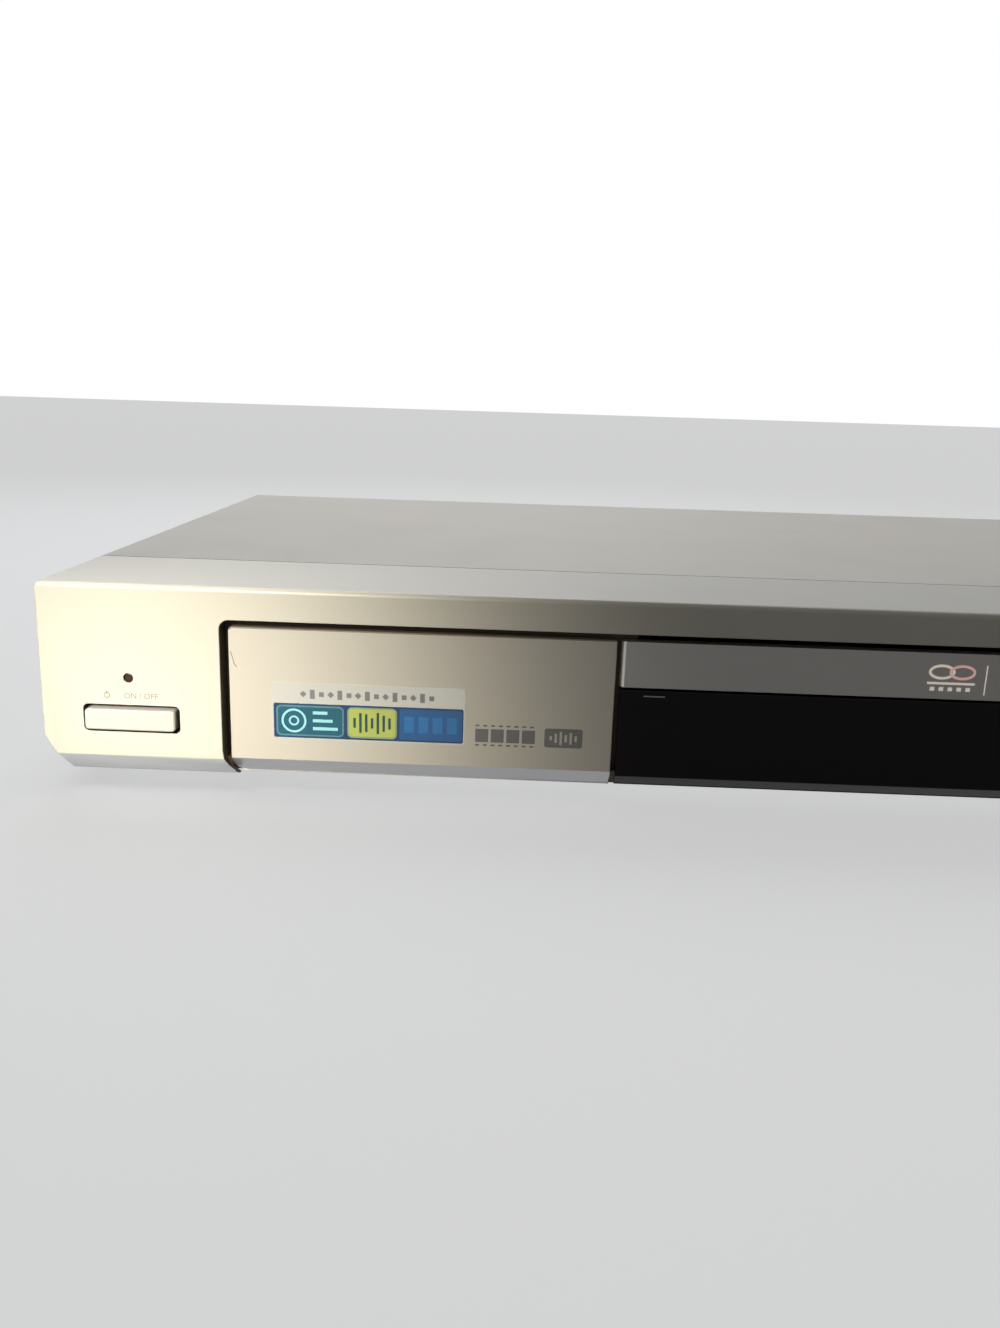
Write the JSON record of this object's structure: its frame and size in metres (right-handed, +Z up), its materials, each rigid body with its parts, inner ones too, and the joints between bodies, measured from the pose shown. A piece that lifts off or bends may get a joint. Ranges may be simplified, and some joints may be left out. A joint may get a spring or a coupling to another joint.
{
  "type": "dvd player with tray",
  "caption": "Slim silver disc player with a sliding disc tray above a dark display window, pressable buttons, a tilting optical deck and rear sockets.",
  "frame": {"origin": "centre of the bounding box at floor level, under the feet", "axes": "+X to the right seen from the front, +Y towards the back, +Z up"},
  "size_m": [0.43, 0.212, 0.05],
  "materials": {
    "silver_plastic": "satin champagne-silver paint",
    "insert_plastic": "satin champagne-silver paint, a little darker",
    "door_plastic": "satin silver paint",
    "window_black": "gloss black",
    "lamp_red": "clear dark red",
    "button_silver": "satin silver paint",
    "cover_paint": "fine silver paint",
    "zinc_steel": "zinc plated",
    "rear_steel": "satin grey",
    "foot_plastic": "moulded",
    "rubber_black": "matte",
    "screw_steel": "dark zinc",
    "loader_black": "moulded",
    "tray_grey": "fine textured",
    "motor_can": "satin",
    "gear_white": "moulded acetal",
    "bridge_steel": "zinc plated",
    "magnet_grey": "nickel plated",
    "base_metal": "die cast",
    "rod_steel": "polished",
    "turntable_black": "moulded",
    "lens_glass": "coated",
    "lens_holder_black": "moulded",
    "board_green": "solder mask",
    "board_brown": "bare laminate",
    "chip_black": "moulded",
    "can_dark": "sleeve",
    "core_yellow": "taped",
    "sink_aluminium": "extruded",
    "fuse_glass": "glass with caps",
    "tube_glass": "dark glass",
    "switch_grey": "moulded",
    "ribbon_white": "satin film",
    "socket_black": "moulded"
  },
  "bodies": {
    "cabinet": {"front_panel": "silver_plastic", "left_insert": "insert_plastic", "right_insert": "insert_plastic", "display_window": "window_black", "standby_lens": "lamp_red", "top_cover": "cover_paint", "bottom_chassis": "zinc_steel", "rear_panel": "rear_steel", "feet": "foot_plastic", "foot_pads": "rubber_black", "case_screws": "screw_steel", "inner_screws": "screw_steel", "loader_frame": "loader_black", "loading_motor": "motor_can", "loading_belt": "rubber_black", "clamp_bridge": "bridge_steel", "main_board": "board_green", "main_chips": "chip_black", "power_board": "board_brown", "mains_capacitor": "can_dark", "capacitors": "can_dark", "transformer": "core_yellow", "heat_sink": "sink_aluminium", "fuse": "fuse_glass", "display_board": "board_green", "display_tube": "tube_glass", "power_key_board": "board_brown", "control_key_board": "board_brown", "key_switches": "switch_grey", "ribbon_cable": "ribbon_white", "ac_inlet": "socket_black", "analogue_jacks": "socket_black", "digital_sockets": "socket_black"},
    "tray": {"disc_tray": "tray_grey", "tray_door": "door_plastic"},
    "drive_wheel": {"drive_gear": "gear_white"},
    "pulley_wheel": {"pulley_gear": "gear_white"},
    "motor_rotor": {"motor_pulley": "gear_white"},
    "cam": {"cam_slider": "gear_white"},
    "clamper": {"clamper_pad": "turntable_black", "clamper_cap": "turntable_black", "clamper_magnet": "magnet_grey"},
    "deck": {"deck_holder": "loader_black", "deck_dampers": "rubber_black", "damper_screws": "screw_steel", "traverse_base": "base_metal", "spindle_motor": "motor_can", "guide_rods": "rod_steel", "sled_motor": "motor_can"},
    "spindle": {"turntable": "turntable_black"},
    "sled": {"pickup_sled": "lens_holder_black"},
    "lens": {"lens_holder": "lens_holder_black", "objective_lens": "lens_glass"},
    "screw_shaft": {"lead_screw": "rod_steel"},
    "power_key": {"power_button": "button_silver"},
    "open_close_key": {"open_close_button": "button_silver"},
    "play_key": {"play_button": "button_silver"},
    "stop_key": {"stop_button": "button_silver"},
    "skip_back_key": {"skip_back_button": "button_silver"},
    "skip_forward_key": {"skip_forward_button": "button_silver"}
  },
  "joints": [
    {"name": "tray_slide", "type": "slide", "parent": "cabinet", "child": "tray", "axis": [0, -1, 0], "range_m": [0, 0.138]},
    {"name": "drive_gear_spin", "type": "hinge", "parent": "cabinet", "child": "drive_wheel", "pos_m": [-0.048, -0.078, 0.031], "axis": [0, 0, 1], "range_deg": [0, 570]},
    {"name": "pulley_gear_spin", "type": "hinge", "parent": "cabinet", "child": "pulley_wheel", "pos_m": [-0.0265, -0.078, 0.028], "axis": [0, 0, 1], "range_deg": [-1065, 0]},
    {"name": "motor_spin", "type": "hinge", "parent": "cabinet", "child": "motor_rotor", "pos_m": [0.022, -0.078, 0.024], "axis": [0, 0, 1], "range_deg": [-4640, 0]},
    {"name": "deck_tilt", "type": "hinge", "parent": "cabinet", "child": "deck", "pos_m": [0, 0.064, 0.02], "axis": [1, 0, 0], "range_deg": [0, 5]},
    {"name": "cam_slide", "type": "slide", "parent": "cabinet", "child": "cam", "axis": [1, 0, 0], "range_m": [0, 0.0161]},
    {"name": "sled_slide", "type": "slide", "parent": "deck", "child": "sled", "axis": [0, 1, 0], "range_m": [0, 0.034]},
    {"name": "lead_screw_spin", "type": "hinge", "parent": "deck", "child": "screw_shaft", "pos_m": [0.034, 0.01, 0.0195], "axis": [0, 1, 0], "range_deg": [0, 4100]},
    {"name": "lens_focus", "type": "slide", "parent": "sled", "child": "lens", "axis": [0, 0, 1], "range_m": [-0.0005, 0.0005], "stiffness_N_per_m": 90},
    {"name": "turntable_spin", "type": "hinge", "parent": "deck", "child": "spindle", "pos_m": [0, -0.032, 0.033], "axis": [0, 0, 1], "continuous": true},
    {"name": "clamper_spin", "type": "hinge", "parent": "cabinet", "child": "clamper", "pos_m": [0, -0.032, 0.042], "axis": [0, 0, 1], "continuous": true},
    {"name": "power_press", "type": "slide", "parent": "cabinet", "child": "power_key", "axis": [0, 1, 0], "range_m": [0, 0.0008], "stiffness_N_per_m": 1200},
    {"name": "open_close_press", "type": "slide", "parent": "cabinet", "child": "open_close_key", "axis": [0, 1, 0], "range_m": [0, 0.0008], "stiffness_N_per_m": 1200},
    {"name": "play_press", "type": "slide", "parent": "cabinet", "child": "play_key", "axis": [0, 1, 0], "range_m": [0, 0.0008], "stiffness_N_per_m": 1200},
    {"name": "stop_press", "type": "slide", "parent": "cabinet", "child": "stop_key", "axis": [0, 1, 0], "range_m": [0, 0.0008], "stiffness_N_per_m": 1200},
    {"name": "skip_back_press", "type": "slide", "parent": "cabinet", "child": "skip_back_key", "axis": [0, 1, 0], "range_m": [0, 0.0008], "stiffness_N_per_m": 1200},
    {"name": "skip_forward_press", "type": "slide", "parent": "cabinet", "child": "skip_forward_key", "axis": [0, 1, 0], "range_m": [0, 0.0008], "stiffness_N_per_m": 1200}
  ],
  "couplings": [
    {"joint": "drive_gear_spin", "follows": "tray_slide", "rad_per_m": 71.429},
    {"joint": "pulley_gear_spin", "follows": "tray_slide", "rad_per_m": -133.33},
    {"joint": "motor_spin", "follows": "tray_slide", "rad_per_m": -580.95},
    {"joint": "cam_slide", "follows": "deck_tilt", "m_per_rad": 0.18335},
    {"joint": "lead_screw_spin", "follows": "sled_slide", "rad_per_m": 2094.4},
    {"joint": "clamper_spin", "follows": "turntable_spin", "ratio": 1}
  ]
}
